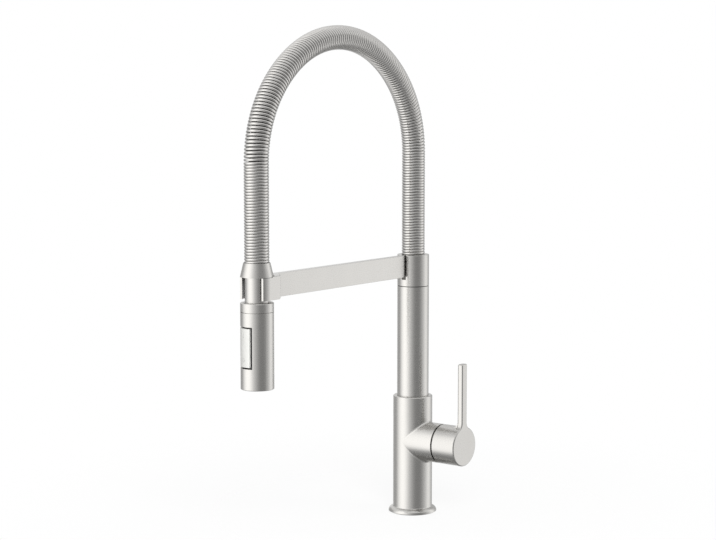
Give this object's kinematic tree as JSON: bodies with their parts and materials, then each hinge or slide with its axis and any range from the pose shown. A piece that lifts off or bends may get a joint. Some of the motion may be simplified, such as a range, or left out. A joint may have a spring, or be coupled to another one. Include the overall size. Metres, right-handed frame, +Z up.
{
  "type": "spring kitchen faucet",
  "caption": "Side-lever kitchen mixer on a round column, with a swivelling flat arm that docks a pull-out spray head hung from an arched spring hose.",
  "frame": {"origin": "centre of the base on the deck, at the mouth of the fixing stud's thread", "axes": "+Z up along the column, -Y along the arm towards the spray head, +X along the handle's axis"},
  "size_m": [0.0982, 0.3112, 0.5449],
  "materials": {
    "satin_steel": "satin brushed, fine grain",
    "spring_steel": "satin wire",
    "brass": "turned",
    "black_plastic": "matte",
    "grey_plastic": "matte",
    "button_plastic": "satin silver",
    "rubber": "matte",
    "ceramic": "lapped"
  },
  "bodies": {
    "base": {"base_ring": "satin_steel", "base_gasket": "rubber", "mixer_body": "satin_steel", "cartridge_housing": "black_plastic", "port_seals": "rubber", "fixed_disc": "ceramic", "cartridge_nut": "spring_steel", "column": "satin_steel", "riser_tube": "brass", "swivel_spigot": "brass", "swivel_o_rings": "rubber", "glide_washer": "black_plastic"},
    "temperature": {"moving_disc": "ceramic", "temperature_carrier": "black_plastic", "pivot_pin": "spring_steel"},
    "handle": {"spindle": "brass", "handle_cap": "satin_steel", "grub_screw": "spring_steel", "grub_plug": "black_plastic"},
    "spout": {"swivel_bush": "brass", "clamp_nut": "brass", "sleeve": "satin_steel", "arm": "satin_steel", "dock_pins": "spring_steel", "dock_clip": "satin_steel", "dock_liner": "grey_plastic", "hose_nipple": "brass", "hose": "rubber", "spring": "spring_steel"},
    "hose_end": {"spring_collar": "satin_steel", "hose_connector": "satin_steel", "swivel_clip": "spring_steel", "check_valve": "black_plastic"},
    "spray_head": {"spray_cap": "satin_steel", "spray_shell": "satin_steel", "spray_core": "black_plastic", "spray_face": "grey_plastic", "nozzles": "rubber", "aerator": "grey_plastic", "button_pin": "spring_steel"},
    "button": {"button": "button_plastic"},
    "spool": {"diverter_spool": "black_plastic"}
  },
  "joints": [
    {"name": "temperature_turn", "type": "hinge", "parent": "base", "child": "temperature", "pos_m": [0.02, 0, 0.082], "axis": [1, 0, 0], "range_deg": [-50, 50]},
    {"name": "flow_tilt", "type": "hinge", "parent": "temperature", "child": "handle", "pos_m": [0.051, 0, 0.082], "axis": [0, 1, 0], "range_deg": [0, 20]},
    {"name": "spout_swivel", "type": "hinge", "parent": "base", "child": "spout", "pos_m": [0, 0, 0.257], "axis": [0, 0, 1], "range_deg": [-150, 150]},
    {"name": "hose_undock", "type": "slide", "parent": "spout", "child": "hose_end", "axis": [0, -1, 0], "range_m": [0, 0.06], "stiffness_N_per_m": 20, "deforming": ["spring", "hose"]},
    {"name": "head_turn", "type": "hinge", "parent": "hose_end", "child": "spray_head", "pos_m": [0, -0.267, 0.26], "axis": [0, 0, 1], "continuous": true},
    {"name": "button_rock", "type": "hinge", "parent": "spray_head", "child": "button", "pos_m": [-0.00298, -0.27591, 0.2196], "axis": [0.9483, -0.3173, 0], "range_deg": [-5, 5]},
    {"name": "spool_shift", "type": "slide", "parent": "spray_head", "child": "spool", "axis": [0, 0, 1], "range_m": [-0.0005, 0.0005]}
  ],
  "couplings": [
    {"joint": "spool_shift", "follows": "button_rock", "m_per_rad": 0.0044}
  ]
}
